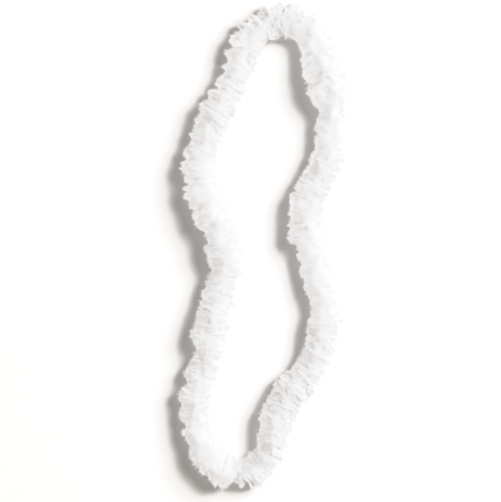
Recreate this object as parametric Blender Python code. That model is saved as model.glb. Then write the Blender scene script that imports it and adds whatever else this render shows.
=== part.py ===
"""A white garland lying flat: a knotted loop of string with a pleated film frill gathered round it.

The real frill is one long strip of thin film, drawn up tight along its middle by the string and twisted
as it is drawn, so that its free edges stand out all round as pleats. It is modelled in lengths, frill_01
and on, that lie end to end on the string. Each has whorls of fan-shaped pleats with a waved free edge,
with the gathered film as a valley between one whorl and the next, and a bore that the string runs through.

Metres, +Z up. The garland rests on z = 0, +Y runs along its longer way, and the origin is under the
middle of its outline.
"""

import math
import random

import bmesh
import bpy
import numpy as np
from mathutils import Vector

# The string's line seen from above, clockwise from the knot: x, y and the frill's reach from the string.
ROUTE = [
    (0.0195, 0.2010, 0.0145), (0.0400, 0.1910, 0.0147), (0.0510, 0.1675, 0.0155),
    (0.0555, 0.1465, 0.0184), (0.0590, 0.1260, 0.0155), (0.0590, 0.1045, 0.0126),
    (0.0575, 0.0800, 0.0140), (0.0490, 0.0585, 0.0144), (0.0395, 0.0390, 0.0158),
    (0.0380, 0.0180, 0.0154), (0.0425, -0.0035, 0.0131), (0.0485, -0.0300, 0.0133),
    (0.0545, -0.0530, 0.0128), (0.0545, -0.0780, 0.0144), (0.0470, -0.1010, 0.0134),
    (0.0345, -0.1210, 0.0147), (0.0205, -0.1395, 0.0153), (0.0115, -0.1605, 0.0155),
    (0.0040, -0.1865, 0.0142), (-0.0160, -0.2035, 0.0134), (-0.0435, -0.1930, 0.0156),
    (-0.0575, -0.1700, 0.0141), (-0.0610, -0.1455, 0.0135), (-0.0555, -0.1210, 0.0132),
    (-0.0485, -0.0960, 0.0132), (-0.0450, -0.0710, 0.0159), (-0.0390, -0.0445, 0.0142),
    (-0.0330, -0.0200, 0.0138), (-0.0345, 0.0000, 0.0165), (-0.0460, 0.0280, 0.0174),
    (-0.0545, 0.0515, 0.0165), (-0.0565, 0.0745, 0.0152), (-0.0505, 0.0975, 0.0146),
    (-0.0400, 0.1205, 0.0155), (-0.0280, 0.1435, 0.0137), (-0.0180, 0.1670, 0.0139),
    (-0.0030, 0.1900, 0.0134),
]
OUTLINE_MIDDLE = (0.00019, -0.00077)  # in the route's coordinates; it becomes the origin
CURVE_STEPS = 40  # points worked out between two points of the route

FRILL_LENGTHS = 23
WHORLS_PER_LENGTH = 5
WHORLS = FRILL_LENGTHS * WHORLS_PER_LENGTH
HEIGHT_TO_REACH = 0.79  # the pleats underneath are pressed to this share of their reach

STRING_RADIUS = 0.0011
BORE_RADIUS = 0.0018
ROUND_SIDES = 6  # of the string and the bore
END_RADIUS = 0.0060
END_SIDES = 12
LENGTH_GAP = 0.0004  # between two lengths of frill

PLEATS_PER_WHORL = 3
PLEAT_POINTS = 6  # along a pleat's free edge
COLUMNS = PLEATS_PER_WHORL * PLEAT_POINTS
PLEAT_SPREAD = 1.06  # a pleat's points are this much further apart than the whorl's mean
EDGE_THICKNESS = 0.0009
PRESSED_THICKNESS = 0.0024  # where the free edge is folded flat against the table
TWIST = math.radians(46)  # from one whorl to the next
TWIST_DRAW = math.radians(9)
EDGE_WAVE = 0.0012  # how far the points of a free edge stand to and fro along the string
EDGE_DRAW = 0.0005
LEAN = 0.0022  # how far a whorl's free edge is tilted along the string
LEANS = 4  # waves of that tilt round the loop
LEAN_TURNS = 3  # turns that its direction makes round the loop
CORNER_REACH = (0.90, 1.05)  # of the frill's reach, at a pleat's two corners
MIDDLE_REACH = (1.00, 1.22)  # and between them
WHORL_REACH = (0.94, 1.04)  # of a whole whorl, which multiplies the two above
VALLEY_REACH = (0.62, 0.76)

KNOT_ROOM = 0.0056  # between the first and the last length of frill
KNOT_LENGTH = 0.0048
KNOT_RADIUS = 0.0023
KNOT_SIDES = 10
KNOT_BANDS = 6
TAIL_RADIUS = 0.0007  # of the string's two cut ends, which stand out of the knot
TAIL_LENGTH = 0.0075
TAIL_ANGLES = (math.radians(35), math.radians(140))

FILM_COLOUR = (0.93, 0.93, 0.935, 1)
STRING_COLOUR = (0.88, 0.86, 0.80, 1)


def clear_scene():
    for obj in list(bpy.data.objects):
        bpy.data.objects.remove(obj)


def material(name, colour, roughness):
    made = bpy.data.materials.new(name)
    made.use_nodes = True
    shader = made.node_tree.nodes["Principled BSDF"]
    shader.inputs["Base Color"].default_value = colour
    shader.inputs["Roughness"].default_value = roughness
    return made


def add_object(name, mesh_builder, look):
    mesh = bpy.data.meshes.new(name)
    bmesh.ops.recalc_face_normals(mesh_builder, faces=mesh_builder.faces)
    mesh_builder.to_mesh(mesh)
    mesh_builder.free()
    mesh.materials.append(look)
    obj = bpy.data.objects.new(name, mesh)
    bpy.context.scene.collection.objects.link(obj)
    return obj


def smooth_loop(knots, steps):
    """Points along a closed cubic curve through the knots whose slope and bend have no jumps."""
    knots = np.array(knots)
    after = np.linalg.norm((np.roll(knots, -1, axis=0) - knots)[:, :2], axis=1)
    before = np.roll(after, 1)
    rise = (np.roll(knots, -1, axis=0) - knots) / after[:, None]
    count = len(knots)
    system = np.zeros((count, count))
    for i in range(count):
        system[i, i - 1] = after[i]
        system[i, i] = 2 * (before[i] + after[i])
        system[i, (i + 1) % count] = before[i]
    wanted = 3 * (after[:, None] * np.roll(rise, 1, axis=0) + before[:, None] * rise)
    slope = np.linalg.solve(system, wanted)
    points = []
    for i in range(count):
        for t in np.arange(steps) / steps:
            start, end = knots[i], knots[(i + 1) % count]
            leave, arrive = slope[i] * after[i], slope[(i + 1) % count] * after[i]
            points.append(
                (1 + 2 * t) * (1 - t) ** 2 * start
                + t * (1 - t) ** 2 * leave
                + t * t * (3 - 2 * t) * end
                + t * t * (t - 1) * arrive
            )
    return np.array(points)


class Line:
    """The string's centreline, read by the distance along it from the knot."""

    def __init__(self):
        loop = smooth_loop(ROUTE, CURVE_STEPS)
        loop[:, :2] -= OUTLINE_MIDDLE
        self.points = np.vstack([loop, loop[:1]])
        steps = np.linalg.norm(np.diff(self.points[:, :2], axis=0), axis=1)
        self.distances = np.concatenate([[0], np.cumsum(steps)])
        self.length = self.distances[-1]

    def reach(self, distance):
        return float(np.interp(distance % self.length, self.distances, self.points[:, 2]))

    def centre(self, distance):
        at = distance % self.length
        x, y = (np.interp(at, self.distances, self.points[:, i]) for i in (0, 1))
        return Vector((x, y, HEIGHT_TO_REACH * self.reach(at)))

    def axes(self, distance):
        """Along the string, out of the loop, and up."""
        near = self.length / len(self.points)
        along = (self.centre(distance + near) - self.centre(distance - near)).normalized()
        out = Vector((0, 0, 1)).cross(along).normalized()
        return along, out, along.cross(out)

    def place(self, distance, radius, angle, shift=0.0):
        """A point at that radius and angle round the string; 0 is out of the loop and a quarter turn is up.
        shift moves it straight along the string. What would reach below the table is pressed flat on it."""
        along, out, up = self.axes(distance)
        centre = self.centre(distance)
        arm = math.cos(angle) * out + math.sin(angle) * up
        pressed = centre.z + radius * arm.z <= 0
        if pressed:
            radius = -centre.z / arm.z
        point = centre + radius * arm + shift * along
        point.z = 0 if pressed else max(point.z, 0)
        return point


def add_ring(bm, points):
    return [bm.verts.new(point) for point in points]


def round_ring(bm, line, distance, radius, sides, shift=0.0):
    """A ring of (angle, vertex) round the string."""
    angles = [math.tau * i / sides for i in range(sides)]
    points = [line.place(distance, radius, angle, shift) for angle in angles]
    return list(zip(angles, add_ring(bm, points)))


def unwrapped(ring, start):
    """The ring's vertices once round and back to the first, with angles that rise from near start."""
    ring = sorted(ring, key=lambda item: (item[0] - start + math.pi) % math.tau)
    opened = [((angle - start + math.pi) % math.tau, vertex) for angle, vertex in ring]
    return opened + [(opened[0][0] + math.tau, opened[0][1])]


def zip_rings(bm, first, second):
    """Joins two rings of (angle, vertex) with triangles, the shorter way at each step."""
    start = first[0][0]
    a, b = unwrapped(first, start + math.pi), unwrapped(second, start + math.pi)
    i = j = 0
    while i < len(a) - 1 or j < len(b) - 1:
        if j == len(b) - 1 or (i < len(a) - 1 and a[i + 1][0] <= b[j + 1][0]):
            bm.faces.new((a[i][1], a[i + 1][1], b[j][1]))
            i += 1
        else:
            bm.faces.new((a[i][1], b[j + 1][1], b[j][1]))
            j += 1


class Whorl:
    """One turn of pleats: its free edge, and the valley behind it. Each draws its own random numbers."""

    def __init__(self, line, number):
        draw = random.Random(number)
        self.line = line
        self.distance = (number + 0.5) * line.length / WHORLS
        share = (number + 0.5) / WHORLS
        phase = number * TWIST + draw.uniform(-TWIST_DRAW, TWIST_DRAW)
        lean = LEAN * math.sin(math.tau * LEANS * share)
        lean_angle = math.tau * LEAN_TURNS * share
        fullness = draw.uniform(*WHORL_REACH) * line.reach(self.distance)
        self.angles, self.reaches, self.shifts = [], [], []
        for column in range(COLUMNS):
            step = column % PLEAT_POINTS
            off_middle = (step - (PLEAT_POINTS - 1) / 2) * math.tau / COLUMNS
            angle = phase + column * math.tau / COLUMNS + (PLEAT_SPREAD - 1) * off_middle
            at_corner = step in (0, PLEAT_POINTS - 1)
            wave = EDGE_WAVE * (1 if step % 2 else -1) + draw.uniform(-EDGE_DRAW, EDGE_DRAW)
            self.angles.append(angle)
            self.reaches.append(fullness * draw.uniform(*(CORNER_REACH if at_corner else MIDDLE_REACH)))
            self.shifts.append(wave + lean * math.cos(angle - lean_angle))
        self.valleys = [line.reach(self.distance) * draw.uniform(*VALLEY_REACH) for _ in range(COLUMNS)]

    def edge_point(self, column, side):
        distance = self.distance + self.shifts[column]
        angle, reach = self.angles[column], self.reaches[column]
        pressed = self.line.place(distance, reach, angle).z == 0
        thickness = PRESSED_THICKNESS if pressed else EDGE_THICKNESS
        return self.line.place(distance, reach, angle, side * thickness / 2)

    def edge_ring(self, bm, side):
        """One side of the free edge, as (angle, vertex)."""
        points = [self.edge_point(column, side) for column in range(COLUMNS)]
        return list(zip(self.angles, add_ring(bm, points)))

    def valley_ring(self, bm, distance):
        """The gathered film between this whorl and the next."""
        points = [self.line.place(distance, reach, angle) for reach, angle in zip(self.valleys, self.angles)]
        return list(zip(self.angles, add_ring(bm, points)))


def frill_length(line, number, look):
    """One length of frill: its whorls of pleats, the valleys between them, and the string's bore."""
    bm = bmesh.new()
    pitch = line.length / WHORLS
    whorls = [Whorl(line, number * WHORLS_PER_LENGTH + i) for i in range(WHORLS_PER_LENGTH)]
    start = whorls[0].distance - pitch / 2
    end = whorls[-1].distance + pitch / 2
    clear_start = (KNOT_ROOM if number == 0 else LENGTH_GAP) / 2
    clear_end = (KNOT_ROOM if number == FRILL_LENGTHS - 1 else LENGTH_GAP) / 2

    rings = [round_ring(bm, line, start, END_RADIUS, END_SIDES, clear_start)]
    for whorl in whorls:
        rings += [whorl.edge_ring(bm, -1), whorl.edge_ring(bm, 1)]
        if whorl is not whorls[-1]:
            rings.append(whorl.valley_ring(bm, whorl.distance + pitch / 2))
    rings.append(round_ring(bm, line, end, END_RADIUS, END_SIDES, -clear_end))

    bore = [round_ring(bm, line, start, BORE_RADIUS, ROUND_SIDES, clear_start)]
    bore += [round_ring(bm, line, whorl.distance, BORE_RADIUS, ROUND_SIDES) for whorl in whorls]
    bore += [round_ring(bm, line, end, BORE_RADIUS, ROUND_SIDES, -clear_end)]
    end_faces = [(rings[0], bore[0]), (rings[-1], bore[-1])]
    for first, second in [*zip(rings, rings[1:]), *zip(bore, bore[1:]), *end_faces]:
        zip_rings(bm, first, second)
    return add_object(f"frill_{number + 1:02d}", bm, look)


def solid_from(name, make):
    """A helper object whose mesh the function fills in."""
    bm = bmesh.new()
    make(bm)
    mesh = bpy.data.meshes.new(name)
    bm.to_mesh(mesh)
    bm.free()
    return bpy.data.objects.new(name, mesh)


def knot_pieces(line):
    """The knot's lump and the string's two cut ends, each a closed solid that reaches into the lump."""
    centre = line.centre(0)
    along, _, _ = line.axes(0)

    def lump(bm):
        bmesh.ops.create_uvsphere(bm, u_segments=KNOT_SIDES, v_segments=KNOT_BANDS, radius=KNOT_RADIUS)
        bmesh.ops.scale(bm, vec=(1, 1, KNOT_LENGTH / 2 / KNOT_RADIUS), verts=bm.verts)

    made = solid_from("knot_lump", lump)
    made.matrix_world = along.to_track_quat("Z", "Y").to_matrix().to_4x4()
    made.location = centre
    pieces = [made]
    for angle in TAIL_ANGLES:
        tip = line.place(0, KNOT_RADIUS / 2 + TAIL_LENGTH, angle)
        arm = tip - centre

        def cut_end(bm, depth=arm.length):
            size = {"radius1": TAIL_RADIUS, "radius2": TAIL_RADIUS, "depth": depth}
            bmesh.ops.create_cone(bm, cap_ends=True, segments=ROUND_SIDES, **size)

        made = solid_from("cut_end", cut_end)
        made.matrix_world = arm.to_track_quat("Z", "Y").to_matrix().to_4x4()
        made.location = (centre + tip) / 2
        pieces.append(made)
    return pieces


def knotted_string(line, look):
    """The closed string: a tube along the loop, joined with the knot that ties its two ends."""
    bm = bmesh.new()
    whorl_middles = [number + 0.5 for number in range(WHORLS)]
    frill_ends = [number * WHORLS_PER_LENGTH for number in range(FRILL_LENGTHS)]
    pitch = line.length / WHORLS
    distances = [place * pitch for place in sorted(whorl_middles + frill_ends)]
    rings = [round_ring(bm, line, distance, STRING_RADIUS, ROUND_SIDES) for distance in distances]
    for first, second in zip(rings, rings[1:] + rings[:1]):
        zip_rings(bm, first, second)
    string = add_object("string", bm, look)

    knot = bpy.data.collections.new("knot")
    bpy.context.scene.collection.children.link(knot)
    for piece in knot_pieces(line):
        knot.objects.link(piece)
    union = string.modifiers.new("tie", "BOOLEAN")
    union.operation = "UNION"
    union.operand_type = "COLLECTION"
    union.collection = knot
    bpy.context.view_layer.update()
    joined = bpy.data.meshes.new_from_object(string.evaluated_get(bpy.context.evaluated_depsgraph_get()))
    string.modifiers.clear()
    string.data = joined
    for piece in list(knot.objects):
        bpy.data.objects.remove(piece)
    bpy.data.collections.remove(knot)
    string.data.shade_smooth()
    return string


def main():
    clear_scene()
    film = material("white film", FILM_COLOUR, 0.45)
    cotton = material("cotton string", STRING_COLOUR, 0.85)
    line = Line()
    knotted_string(line, cotton)
    for number in range(FRILL_LENGTHS):
        frill_length(line, number, film)


main()
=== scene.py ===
"""The looks of a white garland that lies flat: gathered, twisted thin film on a knotted string.

The film follows the same whorls as the solids that it replaces. It is one strip, drawn up on the string, in
three ribbons that run side by side along it. Each ribbon sweeps to and fro over a third of a turn and folds
back at both sides, so that its layers stand round the string as fans. They lean over along the string, and
their free edges are waved, cut in points and drawn together in tufts.
"""

import math
import random

import bpy
import numpy as np
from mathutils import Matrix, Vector


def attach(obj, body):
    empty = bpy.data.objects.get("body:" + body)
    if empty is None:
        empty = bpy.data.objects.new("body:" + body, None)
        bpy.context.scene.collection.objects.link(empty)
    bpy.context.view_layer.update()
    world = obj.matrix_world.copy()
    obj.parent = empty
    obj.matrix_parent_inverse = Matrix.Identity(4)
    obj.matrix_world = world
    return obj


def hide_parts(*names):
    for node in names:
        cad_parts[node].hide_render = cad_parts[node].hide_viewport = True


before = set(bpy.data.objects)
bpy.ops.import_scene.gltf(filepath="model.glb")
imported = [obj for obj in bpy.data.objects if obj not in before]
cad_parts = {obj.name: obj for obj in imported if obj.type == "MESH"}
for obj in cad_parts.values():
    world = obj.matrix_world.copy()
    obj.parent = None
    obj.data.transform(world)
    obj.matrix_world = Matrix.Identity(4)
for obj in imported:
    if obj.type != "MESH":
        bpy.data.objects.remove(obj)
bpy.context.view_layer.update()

# The route and the whorls, as the solids have them.
ROUTE = [
    (0.0195, 0.2010, 0.0145), (0.0400, 0.1910, 0.0147), (0.0510, 0.1675, 0.0155),
    (0.0555, 0.1465, 0.0184), (0.0590, 0.1260, 0.0155), (0.0590, 0.1045, 0.0126),
    (0.0575, 0.0800, 0.0140), (0.0490, 0.0585, 0.0144), (0.0395, 0.0390, 0.0158),
    (0.0380, 0.0180, 0.0154), (0.0425, -0.0035, 0.0131), (0.0485, -0.0300, 0.0133),
    (0.0545, -0.0530, 0.0128), (0.0545, -0.0780, 0.0144), (0.0470, -0.1010, 0.0134),
    (0.0345, -0.1210, 0.0147), (0.0205, -0.1395, 0.0153), (0.0115, -0.1605, 0.0155),
    (0.0040, -0.1865, 0.0142), (-0.0160, -0.2035, 0.0134), (-0.0435, -0.1930, 0.0156),
    (-0.0575, -0.1700, 0.0141), (-0.0610, -0.1455, 0.0135), (-0.0555, -0.1210, 0.0132),
    (-0.0485, -0.0960, 0.0132), (-0.0450, -0.0710, 0.0159), (-0.0390, -0.0445, 0.0142),
    (-0.0330, -0.0200, 0.0138), (-0.0345, 0.0000, 0.0165), (-0.0460, 0.0280, 0.0174),
    (-0.0545, 0.0515, 0.0165), (-0.0565, 0.0745, 0.0152), (-0.0505, 0.0975, 0.0146),
    (-0.0400, 0.1205, 0.0155), (-0.0280, 0.1435, 0.0137), (-0.0180, 0.1670, 0.0139),
    (-0.0030, 0.1900, 0.0134),
]
OUTLINE_MIDDLE = (0.00019, -0.00077)
CURVE_STEPS = 40
FRILL_LENGTHS = 23
WHORLS_PER_LENGTH = 5
WHORLS = FRILL_LENGTHS * WHORLS_PER_LENGTH
HEIGHT_TO_REACH = 0.79
KNOT_ROOM = 0.0056  # that is kept free of film along the string
PLEATS_PER_WHORL = 3
PLEAT_POINTS = 6
COLUMNS = PLEATS_PER_WHORL * PLEAT_POINTS
PLEAT_SPREAD = 1.06
TWIST = math.radians(46)
TWIST_DRAW = math.radians(9)
EDGE_DRAW = 0.0005
LEANS = 4
LEAN_TURNS = 3
CORNER_REACH = (0.90, 1.05)
MIDDLE_REACH = (1.00, 1.22)
WHORL_REACH = (0.94, 1.04)

# How far the whorls' free edges wave and lean along the string. That is less than on the solids, since finer
# waves are added.
EDGE_WAVE = 0.0005
LEAN = 0.0010
LEAN_POWER = 1.3
WAVES = 11  # along the free edge, to one turn
WAVE = 0.0004
WAVE_SIZES = (0.2, 2)
FINE_WAVES = 31
FINE_WAVE = 0.0003

# The film's layers.
LAYERS = 30  # across one length of frill, in each of its three ribbons
LAYER_STEPS = 20  # points along one layer's free edge
ROOT_SHARE = 0.86  # of the reach, where the layers leave the gathers
LEAST_WIDTH = 0.001
RADIAL_SHARES = (0.0, 0.5, 1.0)  # from there to the free edge
FILM_THICKNESS = 0.00016
TABLE_CLEARANCE = 0.0001
LEAST_DROP = 0.001  # downwards part of a direction that meets the table
FOLD_ROUNDING = 0.93  # nearer to 1 is a sharper fold at the sides of a ribbon
FOLD_GAP = math.radians(2)
POINTS = 16  # that the free edge is cut in, to one turn
POINT_DEPTHS = (0.04, 0.20)  # of the reach, on the top and at the sides
POINT_MIDDLE = 0.55
TOP_POWER = 2

# The tufts that the film is drawn together in: number in their random fields, tufts to one whorl, depth of
# the creases between them on the top and at the sides, and the share of it that is left on the traced edges.
TUFTS = (
    (0, 1.0, 0.05, 0.28, 0.35),
    (10, 2.6, 0.02, 0.17, 1.0),
)
TUFT_SIZES = (0.3, 1.6)
CREASE_MIDDLE = 0.14

# Smooth random fields over the frill: seed, size, least and most runs along the loop, and most runs round it.
FOLD_FIELD = (100, math.radians(9), (60, 110), 0)
POINT_FIELD = (110, 0.25, (60, 200), 0)
LAYER_FIELD = (120, 0.17, (200, 600), 4)
LEAN_FIELD = (130, 0.0008, (8, 26), 3)
WAVE_SIZE_FIELD = (140, 0.4, (20, 90), 4)
WAVE_PLACE_FIELD = (150, 1.3, (10, 50), 1)
FINE_WAVE_FIELD = (160, 2, (100, 300), 0)
CURL_FIELD = (170, 0.0002, (100, 300), 2)
SWIRL_FIELD = (180, math.radians(4), (12, 40), 2)
TUFT_PLACE_FIELD = (200, 0.30, (20, 110), 3)
TUFT_SIZE_FIELD = (201, 0.5, (20, 110), 4)

# The gathered film under the layers.
CORE_SHARE = (0.94, 0.97)  # of the reach, in and out of its pleats
CORE_DRAW = 0.02
CORE_ROWS = 89
CORE_SIDES = 48
CORE_BORE = 0.0016
HOLLOW_SHARE = 0.6  # of the reach, at the ends, for the knot
HOLLOW_MOST = 0.009
TIP_LAP = 0.0015  # of the film's tips, over the knot

# The string.
TWINE_RADIUS = 0.0011
TWINE_LAY = 0.0075
TWINE_STEPS = 10  # to one lay
TWINE_SIDES = 18
TWINE_PLIES = 3
TWINE_GROOVE = 0.16
KNOT_HELIX = 0.0017
KNOT_STRAND = 0.0007
KNOT_PITCH = 0.00135
KNOT_TURNS = 2  # and the part of a turn between the tails
KNOT_STEPS = 29
KNOT_SIDES = 12
KNOT_ROUNDINGS = 2
CORNER_CUT = 0.25  # of a step of the path, in each rounding
TAIL_LENGTH = 0.0075
TAIL_ANGLES = (math.radians(35), math.radians(140))
TAIL_SHARES = (1.0, 0.75, 0.5, 0.25)  # of its length, from its cut end to the knot
TAIL_DRIFTS = (0.0009, 0.0006, 0.0003, 0.0001)  # along the string, at those places
END_WIDTH = 0.15  # of the strand's, at its cut ends
END_FLATNESS = 0.9

# The photograph's frame.
PHOTO_SIZE = (501, 502)
METRES_PER_PIXEL = 0.000888
PHOTO_CENTRE = (-0.01125, -0.00418)  # on the table
CAMERA_LENS = 85
CAMERA_SENSOR = 36
MIDDLE_HEIGHT = 0.013  # of the strand, where that scale holds

# Tips and creases of the film on its shadow side, in the photograph's pixels: from the crown down the left
# run's outer side and round the lower bend, down the right run's inner side, and inside the crown's left
# half.
OUTER_EDGE = [
    (283, 2), (273, 6), (264, 2), (256, 15), (249, 12), (246, 23), (238, 20), (239, 31),
    (235, 31), (226, 41), (233, 46), (223, 52), (228, 60), (221, 66), (225, 70), (213, 83),
    (220, 88), (207, 91), (208, 97), (197, 105), (199, 112), (194, 119), (192, 128), (188, 134),
    (191, 139), (182, 153), (185, 159), (177, 166), (184, 175), (180, 181), (190, 183), (190, 186),
    (181, 188), (185, 192), (182, 197), (186, 201), (187, 206), (190, 211), (194, 227), (203, 232),
    (206, 240), (203, 250), (207, 263), (211, 270), (206, 275), (202, 290), (198, 303), (194, 322),
    (189, 334), (195, 349), (188, 364), (181, 372), (186, 381), (176, 396), (181, 404), (178, 415),
    (186, 428), (180, 431), (188, 446), (190, 461), (200, 474), (206, 476), (211, 488), (216, 487),
    (226, 490), (229, 482), (233, 481), (237, 484), (242, 490), (246, 480), (250, 479), (254, 491),
    (263, 490), (267, 480),
]
INNER_EDGE = [
    (288, 36), (297, 43), (300, 52), (301, 66), (302, 78), (307, 85), (305, 92), (311, 102),
    (319, 112), (315, 122), (313, 129), (317, 134), (313, 141), (315, 147), (309, 157), (308, 163),
    (300, 175), (292, 188), (288, 199), (290, 207), (287, 212), (290, 218), (287, 225), (287, 242),
    (296, 245), (297, 251), (296, 257), (299, 264), (299, 276), (303, 281), (303, 291), (308, 298),
    (310, 308), (306, 325), (304, 345), (296, 360), (290, 368), (284, 373), (277, 378), (271, 390),
    (262, 406), (257, 418), (260, 424), (257, 432), (256, 446), (250, 453), (240, 459),
]
CROWN_EDGE = [
    (280, 37), (274, 41), (270, 39), (265, 43), (261, 48), (258, 51),
]
TRACED_EDGES = ((OUTER_EDGE, 1), (INNER_EDGE, -1), (CROWN_EDGE, -1))  # 1 out of the loop, -1 into it
EDGE_FADE = 1.5  # whorls, at the ends of each
TIP_BREADTH = 1.2  # above 1 makes the tips broader than the creases
TRACED_SHIFT = 0.15  # share of the free edge's shift along the string that is left there

# The materials. A noise is its scale and its detail, and a bump is its strength and its height.
FILM_CLOUDS = (180, 4)
FILM_TINTS = ((0.83, 0.83, 0.835, 1), (0.86, 0.86, 0.86, 1))
FILM_TINT_PLACES = (0.3, 0.7)
FILM_ROUGHNESS = (0.42, 0.60)
FILM_CREASES = (900, 3)
FILM_BUMP = (0.12, 0.0002)
FILM_SCATTER = 0.001
FILM_SPECULAR = 0.2
FILM_IOR = 1.5
STRING_GRAIN = (2500, 3)
STRING_TINTS = ((0.74, 0.72, 0.66, 1), (0.92, 0.90, 0.85, 1))
STRING_BUMP = (0.5, 0.0001)
STRING_ROUGHNESS = 0.85
FLOOR_MOTTLE = (6, 2)
FLOOR_TINTS = ((0.90, 0.88, 0.86, 1), (0.92, 0.90, 0.88, 1))
FLOOR_ROUGHNESS = 0.9
FLOOR_SPECULAR = 0.1

# The studio.
FLOOR_SIZE = 6
KEY_PLACE = (1.10, 0.62, 1.28)
KEY_RADIUS = 0.52
KEY_POWER = 22.6
FLOOR_POWER = 17.5
FILM_FILLS = ((190, 20, 0.51), (255, 20, 0.39))  # azimuth, elevation and energy
FILL_SPREAD = 40
WALL_LIGHT = 0.31
CEILING_LIGHT = 0.10
WALL_TOP = 0.15  # upward part of the direction to it
CEILING_START = 0.6
ROOM_TINT = (1.0, 0.92, 0.86, 1)
LIGHT_BOUNCES = 48
PIXEL_WIDTH = 2.5

# The light that falls in, and how bright the photograph shows it.
RESPONSE = [
    (0.18, 0.35), (0.216, 0.40), (0.30, 0.55), (0.36, 0.70), (0.42, 0.825), (0.48, 0.892), (0.54, 0.925),
    (0.585, 0.955), (0.63, 0.985), (0.66, 1.0),
]
RESPONSE_CORNERS = 3  # at the bright end, where it runs flat
RESPONSE_CURVE = 3  # the one for all three colours together


def smooth_loop(knots, steps):
    """Points along a closed cubic curve through the knots whose slope and bend have no jumps."""
    knots = np.array(knots)
    after = np.linalg.norm((np.roll(knots, -1, axis=0) - knots)[:, :2], axis=1)
    before = np.roll(after, 1)
    rise = (np.roll(knots, -1, axis=0) - knots) / after[:, None]
    count = len(knots)
    system = np.zeros((count, count))
    for i in range(count):
        system[i, i - 1] = after[i]
        system[i, i] = 2 * (before[i] + after[i])
        system[i, (i + 1) % count] = before[i]
    wanted = 3 * (after[:, None] * np.roll(rise, 1, axis=0) + before[:, None] * rise)
    slope = np.linalg.solve(system, wanted)
    points = []
    for i in range(count):
        for t in np.arange(steps) / steps:
            start, end = knots[i], knots[(i + 1) % count]
            leave, arrive = slope[i] * after[i], slope[(i + 1) % count] * after[i]
            points.append(
                (1 + 2 * t) * (1 - t) ** 2 * start
                + t * (1 - t) ** 2 * leave
                + t * t * (3 - 2 * t) * end
                + t * t * (t - 1) * arrive
            )
    return np.array(points)


def zigzag(places):
    """Straight slopes between 0 at each whole place and 1 half way to the next."""
    return 1 - np.abs(2 * (places % 1) - 1)


def swell(places):
    """Round slopes between 0 at each whole place and 1 half way to the next."""
    return 0.5 - 0.5 * np.cos(math.tau * places)


class Line:
    """The string's centreline, read at arrays of distances along it from the knot."""

    def __init__(self):
        loop = smooth_loop(ROUTE, CURVE_STEPS)
        loop[:, :2] -= OUTLINE_MIDDLE
        self.points = np.vstack([loop, loop[:1]])
        steps = np.linalg.norm(np.diff(self.points[:, :2], axis=0), axis=1)
        self.distances = np.concatenate([[0], np.cumsum(steps)])
        self.length = self.distances[-1]

    def read(self, distance, column):
        return np.interp(distance % self.length, self.distances, self.points[:, column])

    def centre(self, distance):
        height = HEIGHT_TO_REACH * self.read(distance, 2)
        return np.stack([self.read(distance, 0), self.read(distance, 1), height], axis=-1)

    def axes(self, distance):
        """Out of the loop, and up, both at a right angle to the string."""
        near = self.length / len(self.points)
        along = self.centre(distance + near) - self.centre(distance - near)
        along /= np.linalg.norm(along, axis=-1, keepdims=True)
        out = np.cross(np.array([0.0, 0.0, 1.0]), along)
        out /= np.linalg.norm(out, axis=-1, keepdims=True)
        return out, np.cross(along, out)

    def room(self, distance, angle):
        """How far it is from the string to the table at that angle."""
        drop = -self.axes(distance)[1][..., 2] * np.sin(angle)
        height = self.centre(distance)[..., 2] - TABLE_CLEARANCE
        return np.where(drop > LEAST_DROP, height / np.maximum(drop, LEAST_DROP), np.inf)

    def place(self, distance, radius, angle):
        out, up = self.axes(distance)
        arm = np.cos(angle)[..., None] * out + np.sin(angle)[..., None] * up
        points = self.centre(distance) + radius[..., None] * arm
        points[..., 2] = np.maximum(points[..., 2], TABLE_CLEARANCE)
        return points


class TracedEdge:
    """How far the film reaches on one side of the string, out of the loop (1) or into it (-1)."""

    STEPS = 4000

    def __init__(self, line, pixels, side):
        self.side = side
        corner = np.array(PHOTO_SIZE) / 2
        places = np.array(PHOTO_CENTRE) + (np.array(pixels) - corner) * (METRES_PER_PIXEL, -METRES_PER_PIXEL)
        distances = np.arange(self.STEPS) * line.length / self.STEPS
        centre = line.centre(distances)[:, :2]
        out = line.axes(distances)[0][:, :2]
        nearest, reaches = [], []
        for place in places:
            arms = place - centre
            on_side = np.sum(arms * out, axis=1) * side > 0
            far = np.where(on_side, np.linalg.norm(arms, axis=1), np.inf)
            nearest.append(distances[np.argmin(far)])
            reaches.append(np.min(far))
        order = np.argsort(nearest)
        self.whorls = np.array(nearest)[order] * WHORLS / line.length - 0.5
        self.reaches = np.array(reaches)[order]

    def weight(self, whorl, angle):
        """How much it counts there: all on its own side of the string, and less towards its ends."""
        ahead = np.minimum(whorl - self.whorls[0], self.whorls[-1] - whorl)
        return np.clip(ahead / EDGE_FADE, 0, 1) * np.clip(self.side * np.cos(angle), 0, 1)

    def reach(self, whorl):
        after = np.clip(np.searchsorted(self.whorls, whorl), 1, len(self.whorls) - 1)
        start, end = self.whorls[after - 1], self.whorls[after]
        share = np.clip((whorl - start) / (end - start), 0, 1)
        rise = self.reaches[after] - self.reaches[after - 1]
        share = np.where(rise > 0, 1 - (1 - share) ** TIP_BREADTH, share ** TIP_BREADTH)
        return self.reaches[after - 1] + rise * swell(share / 2)


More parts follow.
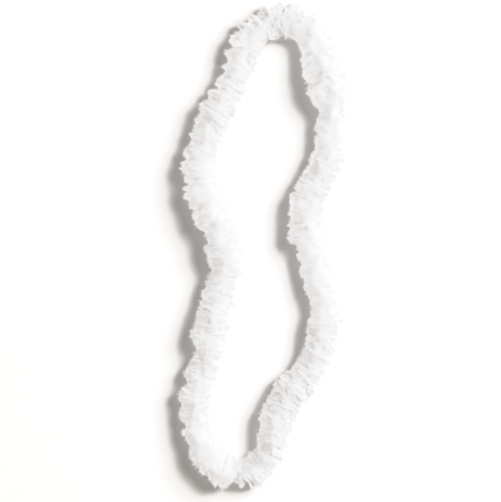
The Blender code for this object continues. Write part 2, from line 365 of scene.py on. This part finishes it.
class Whorls:
    """The reach and the shift along the string of every whorl's free edge, on an even grid of angles."""

    GRID = 240

    def __init__(self, line):
        self.edges = [TracedEdge(line, pixels, side) for pixels, side in TRACED_EDGES]
        self.grid = np.arange(self.GRID) * math.tau / self.GRID
        self.phases = []
        self.reaches = []
        self.shifts = []
        for number in range(WHORLS):
            phase, angles, reaches, shifts = self.draw(line, number)
            self.phases.append(phase)
            self.reaches.append(np.interp(self.grid, angles, reaches, period=math.tau))
            self.shifts.append(np.interp(self.grid, angles, shifts, period=math.tau))
        self.phases = np.array(self.phases)
        self.reaches = np.array(self.reaches)
        self.shifts = np.array(self.shifts)

    def draw(self, line, number):
        """One whorl, with the same draws as the solid's."""
        draw = random.Random(number)
        share = (number + 0.5) / WHORLS
        phase = number * TWIST + draw.uniform(-TWIST_DRAW, TWIST_DRAW)
        lean = LEAN * math.sin(math.tau * LEANS * share)
        lean_angle = math.tau * LEAN_TURNS * share
        fullness = draw.uniform(*WHORL_REACH) * float(line.read(share * line.length, 2))
        angles, reaches, shifts = [], [], []
        for column in range(COLUMNS):
            step = column % PLEAT_POINTS
            off_middle = (step - (PLEAT_POINTS - 1) / 2) * math.tau / COLUMNS
            angle = phase + column * math.tau / COLUMNS + (PLEAT_SPREAD - 1) * off_middle
            at_corner = step in (0, PLEAT_POINTS - 1)
            wave = EDGE_WAVE * (1 if step % 2 else -1) + draw.uniform(-EDGE_DRAW, EDGE_DRAW)
            angles.append(angle)
            reaches.append(fullness * draw.uniform(*(CORNER_REACH if at_corner else MIDDLE_REACH)))
            shifts.append(wave + lean * math.cos(angle - lean_angle))
        return phase, angles, reaches, shifts

    def between(self, table, number, angle):
        """A value of the grid at a fractional whorl number and an angle."""
        low = np.floor(number).astype(int)
        share = number - low
        column = (angle % math.tau) / math.tau * self.GRID
        left = np.floor(column).astype(int) % self.GRID
        right = (left + 1) % self.GRID
        part = column - np.floor(column)
        first, second = np.clip(low, 0, WHORLS - 1), np.clip(low + 1, 0, WHORLS - 1)
        before = table[first, left] * (1 - part) + table[first, right] * part
        after = table[second, left] * (1 - part) + table[second, right] * part
        return before * (1 - share) + after * share

    def traced(self, whorl, angle):
        return sum(edge.weight(whorl, angle) for edge in self.edges)

    def phase(self, number):
        inside = np.clip(number, 0, WHORLS - 1)
        return np.interp(inside, np.arange(WHORLS), self.phases) + (number - inside) * TWIST


class Field:
    """A smooth random value over the frill, so that film that lies close together does the same.

    It is a sum of sines of random runs along the loop and round it.
    """

    SINES = 14

    def __init__(self, field, number=0):
        seed, size, along, around = field
        generator = np.random.default_rng(seed + number)
        self.along = generator.integers(along[0], along[1], self.SINES)
        self.around = generator.integers(-around, around + 1, self.SINES)
        self.starts = generator.uniform(0, math.tau, self.SINES)
        self.size = size * math.sqrt(2 / self.SINES)

    def read(self, whorl, angle):
        turn = math.tau * (whorl + 0.5) / WHORLS
        total = np.zeros(np.broadcast(whorl, angle).shape)
        for along, around, start in zip(self.along, self.around, self.starts):
            total += np.sin(along * turn + around * angle + start)
        return self.size * total


def grid_faces(rows, columns, first, closed=False):
    """Quads between neighbouring rows of points, numbered from first."""
    i, j = np.meshgrid(np.arange(rows - 1), np.arange(columns if closed else columns - 1), indexing="ij")
    after = (j + 1) % columns
    corners = [i * columns + j, i * columns + after, (i + 1) * columns + after, (i + 1) * columns + j]
    return first + np.stack(corners, axis=-1).reshape(-1, 4)


def mesh_object(name, points, faces, look):
    mesh = bpy.data.meshes.new(name)
    mesh.from_pydata(points.tolist(), [], faces.tolist())
    mesh.materials.append(look)
    mesh.shade_smooth()
    obj = bpy.data.objects.new(name, mesh)
    bpy.context.scene.collection.objects.link(obj)
    return obj


def along_string(line, whorl, room):
    """The distance from the knot, with the film next to the knot kept off it by half that room."""
    pitch = line.length / WHORLS
    places = [0, pitch, line.length - pitch, line.length]
    kept = [room / 2, pitch, line.length - pitch, line.length - room / 2]
    return np.interp((whorl + 0.5) * pitch, places, kept)


def side_share(angle):
    """1 at the sides of the strand and under it, 0 on its top, where the tips lie over."""
    return 1 - np.maximum(np.sin(angle), 0) ** TOP_POWER


def crowding(line, whorl, angle, reach):
    """How close the whorls stand there, from 1 on a straight run to less inside a bend."""
    pitch = line.length / WHORLS
    distance = (whorl + 0.5) * pitch
    gap = line.place(distance + pitch / 2, reach, angle) - line.place(distance - pitch / 2, reach, angle)
    return np.minimum(np.linalg.norm(gap, axis=-1) / pitch, 1)


def film_reach(line, whorls, whorl, angle):
    """How far the film stands out: in tufts, with creases between them."""
    reach = whorls.between(whorls.reaches, whorl, angle)
    at_side = side_share(angle)
    open_share = crowding(line, whorl, angle, reach)
    for edge in whorls.edges:
        reach = reach + edge.weight(whorl, angle) * (edge.reach(whorl) - reach)
    traced = whorls.traced(whorl, angle)
    for number, pace, top_depth, side_depth, traced_share in TUFTS:
        place = pace * whorl + Field(TUFT_PLACE_FIELD, number).read(whorl, angle)
        size = np.clip(1 + Field(TUFT_SIZE_FIELD, number).read(whorl, angle), *TUFT_SIZES)
        depth = top_depth + (side_depth - top_depth) * at_side
        depth = depth * open_share * (1 - traced + traced_share * traced)
        crease = swell(place) + (zigzag(place) - swell(place)) * at_side
        reach = reach * (1 - depth * size * (crease - CREASE_MIDDLE))
    return reach


def film_shift(whorls, whorl, angle):
    """How far its free edge leans along the string, and its waves."""
    shift = whorls.between(whorls.shifts, whorl, angle)
    shift = shift + Field(LEAN_FIELD).read(whorl, angle)
    size = np.clip(1 + Field(WAVE_SIZE_FIELD).read(whorl, angle), *WAVE_SIZES)
    shift = shift + WAVE * size * np.sin(WAVES * angle + Field(WAVE_PLACE_FIELD).read(whorl, angle))
    return shift * (1 - (1 - TRACED_SHIFT) * whorls.traced(whorl, angle))


def film_ribbon(line, whorls, number):
    """The points of one of the three ribbons, all the way: rows along its free edge, columns out to it."""
    count = LAYERS * FRILL_LENGTHS
    along = np.linspace(0, count, count * LAYER_STEPS + 1)
    stair = along + np.sin(math.tau * along) / math.tau
    whorl = stair * WHORLS / count - 0.5

    sweep = np.arcsin(FOLD_ROUNDING * np.cos(math.pi * along)) / math.asin(FOLD_ROUNDING)
    sides = []
    for side in (number, number + 1):
        wander = Field(FOLD_FIELD, side % PLEATS_PER_WHORL)
        sides.append((side * PLEAT_POINTS - 0.5) * math.tau / COLUMNS + wander.read(whorl, 0))
    low, high = sides[0] + FOLD_GAP, sides[1] - FOLD_GAP
    angle = whorls.phase(whorl) + (low + high) / 2 + sweep * (high - low) / 2

    edge_run = np.concatenate([[0], np.cumsum(np.abs(np.diff(angle)))]) / math.tau
    cut = zigzag(POINTS * edge_run + Field(POINT_FIELD, number).read(whorl, 0))
    full_reach = film_reach(line, whorls, whorl, angle)
    top_depth, side_depth = POINT_DEPTHS
    depth = top_depth + (side_depth - top_depth) * side_share(angle)
    layer = Field(LAYER_FIELD, number).read(whorl, angle)
    reach = full_reach * (1 + depth * (cut - POINT_MIDDLE + layer))
    shift = film_shift(whorls, whorl, angle)
    shift += FINE_WAVE * np.sin(FINE_WAVES * angle + Field(FINE_WAVE_FIELD, number).read(whorl, 0))
    curl = Field(CURL_FIELD, number).read(whorl, angle)
    swirl = Field(SWIRL_FIELD).read(whorl, angle)

    out = np.array(RADIAL_SHARES)
    share = ROOT_SHARE + (1 - ROOT_SHARE) * out
    root = along_string(line, whorl, KNOT_ROOM)
    tip = along_string(line, whorl, -TIP_LAP)
    distances = root[:, None] + (tip - root)[:, None] * share + shift[:, None] * share ** LEAN_POWER
    distances += curl[:, None] * out ** 2
    angles = angle[:, None] + swirl[:, None] * share
    reach = np.minimum(reach, line.room(distances[:, -1], angles[:, -1]))
    root_radius = np.minimum(ROOT_SHARE * full_reach, reach - LEAST_WIDTH)
    radii = root_radius[:, None] + (reach - root_radius)[:, None] * out
    return line.place(distances, radii, angles)


def gathered_core(line, whorls, number):
    """The film under the layers: a sleeve with fine crosswise pleats, and its bore."""
    generator = np.random.default_rng(number)
    whorl = np.linspace(number, number + 1, CORE_ROWS) * WHORLS_PER_LENGTH - 0.5
    angle = np.arange(CORE_SIDES) * math.tau / CORE_SIDES
    whorl_grid, angle_grid = np.meshgrid(whorl, angle, indexing="ij")
    low, high = CORE_SHARE
    share = np.where(np.arange(CORE_ROWS) % 2 == 0, low, high)[:, None]
    share = share + generator.uniform(-CORE_DRAW, CORE_DRAW, whorl_grid.shape)
    root = along_string(line, whorl_grid, KNOT_ROOM)
    tip = along_string(line, whorl_grid, -TIP_LAP)
    shift = film_shift(whorls, whorl_grid, angle_grid)
    distance = root + (tip - root) * share + shift * high ** LEAN_POWER
    swirl = Field(SWIRL_FIELD).read(whorl_grid, angle_grid)
    angles = angle_grid + swirl * high
    reach = share * film_reach(line, whorls, whorl_grid, angle_grid)
    reach = np.minimum(reach, line.room(distance, angles))
    bore = np.full((1, CORE_SIDES), CORE_BORE)
    hollow = np.minimum(HOLLOW_SHARE * reach[[0, -1]], HOLLOW_MOST)
    first, last = np.repeat(root[:1], 2, axis=0), np.repeat(root[-1:], 2, axis=0)
    distances = np.concatenate([first, distance, last[::-1], root[:1]])
    radii = np.concatenate([bore, hollow[:1], reach, hollow[1:], bore, bore])
    plain = angle_grid[:1]
    angles = np.concatenate([plain, plain, angles, plain, plain, plain])
    return line.place(distances, radii, angles)


def film_piece(line, whorls, ribbons, number, look):
    """All the film of one length of frill."""
    points, faces, count = [], [], 0
    steps = LAYERS * LAYER_STEPS
    for ribbon in ribbons:
        part = ribbon[number * steps:(number + 1) * steps + 1]
        rows, columns = part.shape[:2]
        points.append(part.reshape(-1, 3))
        faces.append(grid_faces(rows, columns, count))
        count += rows * columns
    film = mesh_object(f"film_{number + 1:02d}", np.concatenate(points), np.concatenate(faces), look)
    thicken = film.modifiers.new("film thickness", "SOLIDIFY")
    thicken.thickness = FILM_THICKNESS
    thicken.offset = 0

    core = gathered_core(line, whorls, number)
    rows, columns = core.shape[:2]
    sleeve = grid_faces(rows, columns, 0, True)
    gathers = mesh_object(f"gathers_{number + 1:02d}", core.reshape(-1, 3), sleeve, look)
    for piece in (film, gathers):
        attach(piece, "root")
        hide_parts(f"frill_{number + 1:02d}")
    return [film, gathers]


def tube(path, radii, sides):
    """Rings of points round a path, each set square to it, with one radius to each ring."""
    along = np.gradient(path, axis=0)
    along /= np.linalg.norm(along, axis=1, keepdims=True)
    across = np.cross(along[0], (0.0, 0.0, 1.0))
    rings = []
    angles = np.arange(sides) * math.tau / sides
    for place, way, radius in zip(path, along, radii):
        across = across - way * np.dot(across, way)
        across /= np.linalg.norm(across)
        upright = np.cross(way, across)
        arm = np.cos(angles)[:, None] * across + np.sin(angles)[:, None] * upright
        rings.append(place + radius * arm)
    return np.array(rings)


def twine(line):
    """The string: three plies twisted together, in one closed loop."""
    lays = round(line.length / TWINE_LAY)
    distance = np.linspace(0, line.length, lays * TWINE_STEPS + 1)
    angle = np.arange(TWINE_SIDES) * math.tau / TWINE_SIDES
    distances, angles = np.meshgrid(distance, angle, indexing="ij")
    twist = angles - math.tau * lays * distances / line.length
    radii = TWINE_RADIUS * (1 - TWINE_GROOVE + TWINE_GROOVE * np.abs(np.cos(TWINE_PLIES / 2 * twist)))
    return line.place(distances, radii, angles)


def rounded(path, times):
    """The path with its corners cut again and again, which makes them bends."""
    more, less = 1 - CORNER_CUT, CORNER_CUT
    for _ in range(times):
        cut = np.stack([more * path[:-1] + less * path[1:], less * path[:-1] + more * path[1:]], axis=1)
        path = np.concatenate([path[:1], cut.reshape(-1, 3), path[-1:]])
    return path


def knot(line):
    """The string's ends, wound round it, with their two cut tails."""
    first, last = TAIL_ANGLES
    last += KNOT_TURNS * math.tau
    turns = (last - first) / math.tau
    angle = np.linspace(first, last, KNOT_STEPS)
    distance = KNOT_PITCH * (angle - (first + last) / 2) / math.tau
    radius = np.full(len(angle), KNOT_HELIX)
    tail = KNOT_HELIX + TAIL_LENGTH * np.array(TAIL_SHARES)
    drift = KNOT_PITCH * turns / 2 + np.array(TAIL_DRIFTS)
    distance = np.concatenate([-drift, distance, drift[::-1]])
    radius = np.concatenate([tail, radius, tail[::-1]])
    angle = np.concatenate([np.full(len(tail), first), angle, np.full(len(tail), last)])
    path = rounded(line.place(distance, radius, angle), KNOT_ROUNDINGS)
    radii = np.full(len(path), KNOT_STRAND)
    radii[[0, -1]] *= END_WIDTH
    path[0] += (path[1] - path[0]) * END_FLATNESS
    path[-1] += (path[-2] - path[-1]) * END_FLATNESS
    return tube(path, radii, KNOT_SIDES)


def string_pieces(line, look):
    for name, rings in (("twine", twine(line)), ("twine_knot", knot(line))):
        rows, columns = rings.shape[:2]
        piece = mesh_object(name, rings.reshape(-1, 3), grid_faces(rows, columns, 0, True), look)
        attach(piece, "root")
        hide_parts("string")


def new_material(name):
    made = bpy.data.materials.new(name)
    made.use_nodes = True
    nodes = made.node_tree.nodes
    return made, nodes, made.node_tree.links, nodes["Principled BSDF"]


def add_noise(nodes, links, scale, detail):
    place = nodes.new("ShaderNodeTexCoord")
    noise = nodes.new("ShaderNodeTexNoise")
    noise.inputs["Scale"].default_value = scale
    noise.inputs["Detail"].default_value = detail
    links.new(place.outputs["Object"], noise.inputs["Vector"])
    return noise.outputs["Fac"]


def add_tint(nodes, links, shader, noise, tints, places=(0, 1)):
    """The colour between the two tints that the noise picks."""
    ramp = nodes.new("ShaderNodeValToRGB")
    for stop, place, tint in zip(ramp.color_ramp.elements, places, tints):
        stop.position = place
        stop.color = tint
    links.new(noise, ramp.inputs["Fac"])
    links.new(ramp.outputs["Color"], shader.inputs["Base Color"])


def add_bump(nodes, links, shader, noise, strength, height):
    bump = nodes.new("ShaderNodeBump")
    bump.inputs["Strength"].default_value = strength
    bump.inputs["Distance"].default_value = height
    links.new(noise, bump.inputs["Height"])
    links.new(bump.outputs["Normal"], shader.inputs["Normal"])


def film_material():
    """Thin white plastic film: satin, a little cloudy, with fine creases."""
    made, nodes, links, shader = new_material("white film")
    clouds = add_noise(nodes, links, *FILM_CLOUDS)
    add_tint(nodes, links, shader, clouds, FILM_TINTS, FILM_TINT_PLACES)
    rough = nodes.new("ShaderNodeMapRange")
    rough.inputs["To Min"].default_value, rough.inputs["To Max"].default_value = FILM_ROUGHNESS
    links.new(clouds, rough.inputs["Value"])
    links.new(rough.outputs["Result"], shader.inputs["Roughness"])
    add_bump(nodes, links, shader, add_noise(nodes, links, *FILM_CREASES), *FILM_BUMP)
    shader.inputs["Subsurface Weight"].default_value = 1.0
    shader.inputs["Subsurface Radius"].default_value = (1.0, 1.0, 1.0)
    shader.inputs["Subsurface Scale"].default_value = FILM_SCATTER
    shader.inputs["Specular IOR Level"].default_value = FILM_SPECULAR
    shader.inputs["IOR"].default_value = FILM_IOR
    return made


def string_material():
    """Off-white cotton: matt, with a fine twisted grain."""
    made, nodes, links, shader = new_material("cotton string")
    grain = add_noise(nodes, links, *STRING_GRAIN)
    add_tint(nodes, links, shader, grain, STRING_TINTS)
    add_bump(nodes, links, shader, grain, *STRING_BUMP)
    shader.inputs["Roughness"].default_value = STRING_ROUGHNESS
    return made


def floor_material():
    made, nodes, links, shader = new_material("pale floor")
    add_tint(nodes, links, shader, add_noise(nodes, links, *FLOOR_MOTTLE), FLOOR_TINTS)
    shader.inputs["Roughness"].default_value = FLOOR_ROUGHNESS
    shader.inputs["Specular IOR Level"].default_value = FLOOR_SPECULAR
    return made


def add_floor():
    bpy.ops.mesh.primitive_plane_add(size=FLOOR_SIZE, location=(0, 0, 0))
    floor = bpy.context.object
    floor.name = "floor"
    floor.data.materials.append(floor_material())
    return floor


def add_camera():
    """Straight above, with the photograph's frame and scale."""
    data = bpy.data.cameras.new("camera")
    data.lens = CAMERA_LENS
    data.sensor_width = CAMERA_SENSOR
    camera = bpy.data.objects.new("camera", data)
    bpy.context.scene.collection.objects.link(camera)
    longer_side = max(PHOTO_SIZE) * METRES_PER_PIXEL
    camera.location = (*PHOTO_CENTRE, MIDDLE_HEIGHT + longer_side * CAMERA_LENS / CAMERA_SENSOR)
    bpy.context.scene.camera = camera


def add_lamp(name, power):
    """A large soft lamp whose light doesn't weaken on its way."""
    data = bpy.data.lights.new(name, "POINT")
    data.energy = power
    data.shadow_soft_size = KEY_RADIUS
    data.use_nodes = True
    nodes, links = data.node_tree.nodes, data.node_tree.links
    even = nodes.new("ShaderNodeLightFalloff")
    even.inputs["Strength"].default_value = 1
    links.new(even.outputs["Constant"], nodes["Emission"].inputs["Strength"])
    light = bpy.data.objects.new(name, data)
    light.location = KEY_PLACE
    light.visible_camera = False
    bpy.context.scene.collection.objects.link(light)
    return light


def add_fill(name, energy, azimuth, elevation):
    """Light from far away, without a shadow."""
    data = bpy.data.lights.new(name, "SUN")
    data.energy = energy
    data.angle = math.radians(FILL_SPREAD)
    data.use_shadow = False
    light = bpy.data.objects.new(name, data)
    bpy.context.scene.collection.objects.link(light)
    azimuth, elevation = math.radians(azimuth), math.radians(elevation)
    towards = Vector((math.cos(azimuth), math.sin(azimuth), math.tan(elevation)))
    light.rotation_mode = "QUATERNION"
    light.rotation_quaternion = towards.to_track_quat("Z", "Y")
    return light


def shine_only_on(light, objects):
    receivers = bpy.data.collections.new(f"lit by {light.name}")
    for obj in objects:
        receivers.objects.link(obj)
    light.light_linking.receiver_collection = receivers


def add_room():
    """Walls that shine more than the ceiling."""
    world = bpy.data.worlds.new("studio")
    world.use_nodes = True
    nodes, links = world.node_tree.nodes, world.node_tree.links
    place = nodes.new("ShaderNodeTexCoord")
    parts = nodes.new("ShaderNodeSeparateXYZ")
    links.new(place.outputs["Generated"], parts.inputs["Vector"])
    fade = nodes.new("ShaderNodeMapRange")
    fade.inputs["From Min"].default_value = WALL_TOP
    fade.inputs["From Max"].default_value = CEILING_START
    fade.inputs["To Min"].default_value = WALL_LIGHT
    fade.inputs["To Max"].default_value = CEILING_LIGHT
    links.new(parts.outputs["Z"], fade.inputs["Value"])
    links.new(fade.outputs["Result"], nodes["Background"].inputs["Strength"])
    nodes["Background"].inputs["Color"].default_value = ROOM_TINT
    bpy.context.scene.world = world


def add_light(film, floor):
    """A key lamp to the right and a little above in the picture.

    The floor has a second lamp in its place, because it is overexposed in the photograph. Two weak fills fall
    on the film alone and pass through it, as light does from layer to layer of thin film.
    """
    add_lamp("key", KEY_POWER)
    shine_only_on(add_lamp("floor lamp", FLOOR_POWER), [floor])
    for number, (azimuth, elevation, energy) in enumerate(FILM_FILLS):
        shine_only_on(add_fill(f"film fill {number + 1}", energy, azimuth, elevation), film)
    add_room()
    cycles = bpy.context.scene.cycles
    cycles.max_bounces = LIGHT_BOUNCES
    cycles.diffuse_bounces = LIGHT_BOUNCES
    cycles.transmission_bounces = LIGHT_BOUNCES
    cycles.filter_width = PIXEL_WIDTH


def set_response():
    """Show the light as the photograph does, with its white film and floor close together."""
    view = bpy.context.scene.view_settings
    view.view_transform = "Standard"
    view.use_curve_mapping = True
    response = view.curve_mapping
    curve = response.curves[RESPONSE_CURVE]
    for light, shown in RESPONSE:
        curve.points.new(light, shown)
    for point in curve.points[-RESPONSE_CORNERS:]:
        point.handle_type = "VECTOR"
    response.update()


def main():
    line = Line()
    whorls = Whorls(line)
    ribbons = [film_ribbon(line, whorls, number) for number in range(PLEATS_PER_WHORL)]
    look = film_material()
    film = []
    for number in range(FRILL_LENGTHS):
        film += film_piece(line, whorls, ribbons, number, look)
    string_pieces(line, string_material())
    floor = add_floor()
    add_light(film, floor)
    add_camera()
    set_response()


main()
